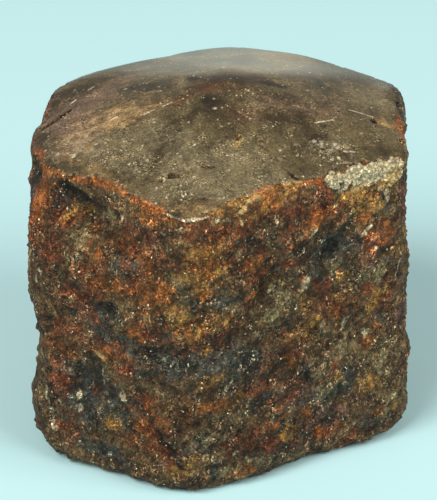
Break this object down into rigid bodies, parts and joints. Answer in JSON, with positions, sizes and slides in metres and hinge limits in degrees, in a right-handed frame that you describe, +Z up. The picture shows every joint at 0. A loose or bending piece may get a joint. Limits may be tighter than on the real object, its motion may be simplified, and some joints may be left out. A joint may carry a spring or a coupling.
{
  "type": "corundum crystal",
  "caption": "Stout hexagonal corundum crystal with rough, rust-stained sides, a flat base, and a top ground and polished to a low dome.",
  "frame": {"origin": "on the ground, under the middle of the crystal's box", "axes": "+Z up through the domed top; -Y towards the front edge of the prism; +X to the right of a viewer who faces that edge"},
  "size_m": [0.0288, 0.0298, 0.0263],
  "materials": {
    "corundum": "rough, rust-stained sides; ground and polished top"
  },
  "bodies": {
    "root": {"crystal": "corundum"}
  },
  "joints": []
}
